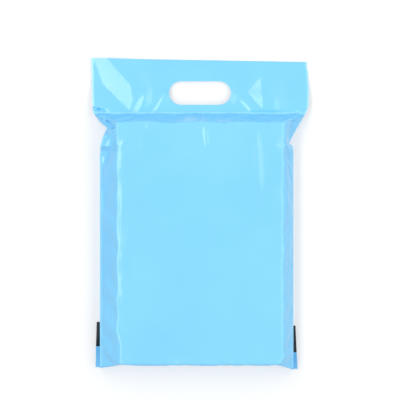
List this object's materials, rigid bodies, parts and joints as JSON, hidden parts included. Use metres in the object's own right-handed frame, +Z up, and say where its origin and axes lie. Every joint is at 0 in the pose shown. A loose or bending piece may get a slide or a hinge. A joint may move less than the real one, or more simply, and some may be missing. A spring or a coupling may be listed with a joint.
{
  "type": "poly mailer bag",
  "caption": "Sealed film mailer packed with flat goods, lying on its back, with a flat handle panel that has a die-cut grip slot and a glued flap folded under its mouth.",
  "frame": {"origin": "middle of the bag's footprint, on the table under its back film", "axes": "+X across the bag, +Y from the folded mouth to the handle, +Z up out of the front face"},
  "size_m": [0.28, 0.4, 0.05],
  "materials": {
    "film": "satin sky-blue polyethylene film"
  },
  "bodies": {
    "root": {"mailer_bag": "film"}
  },
  "joints": []
}
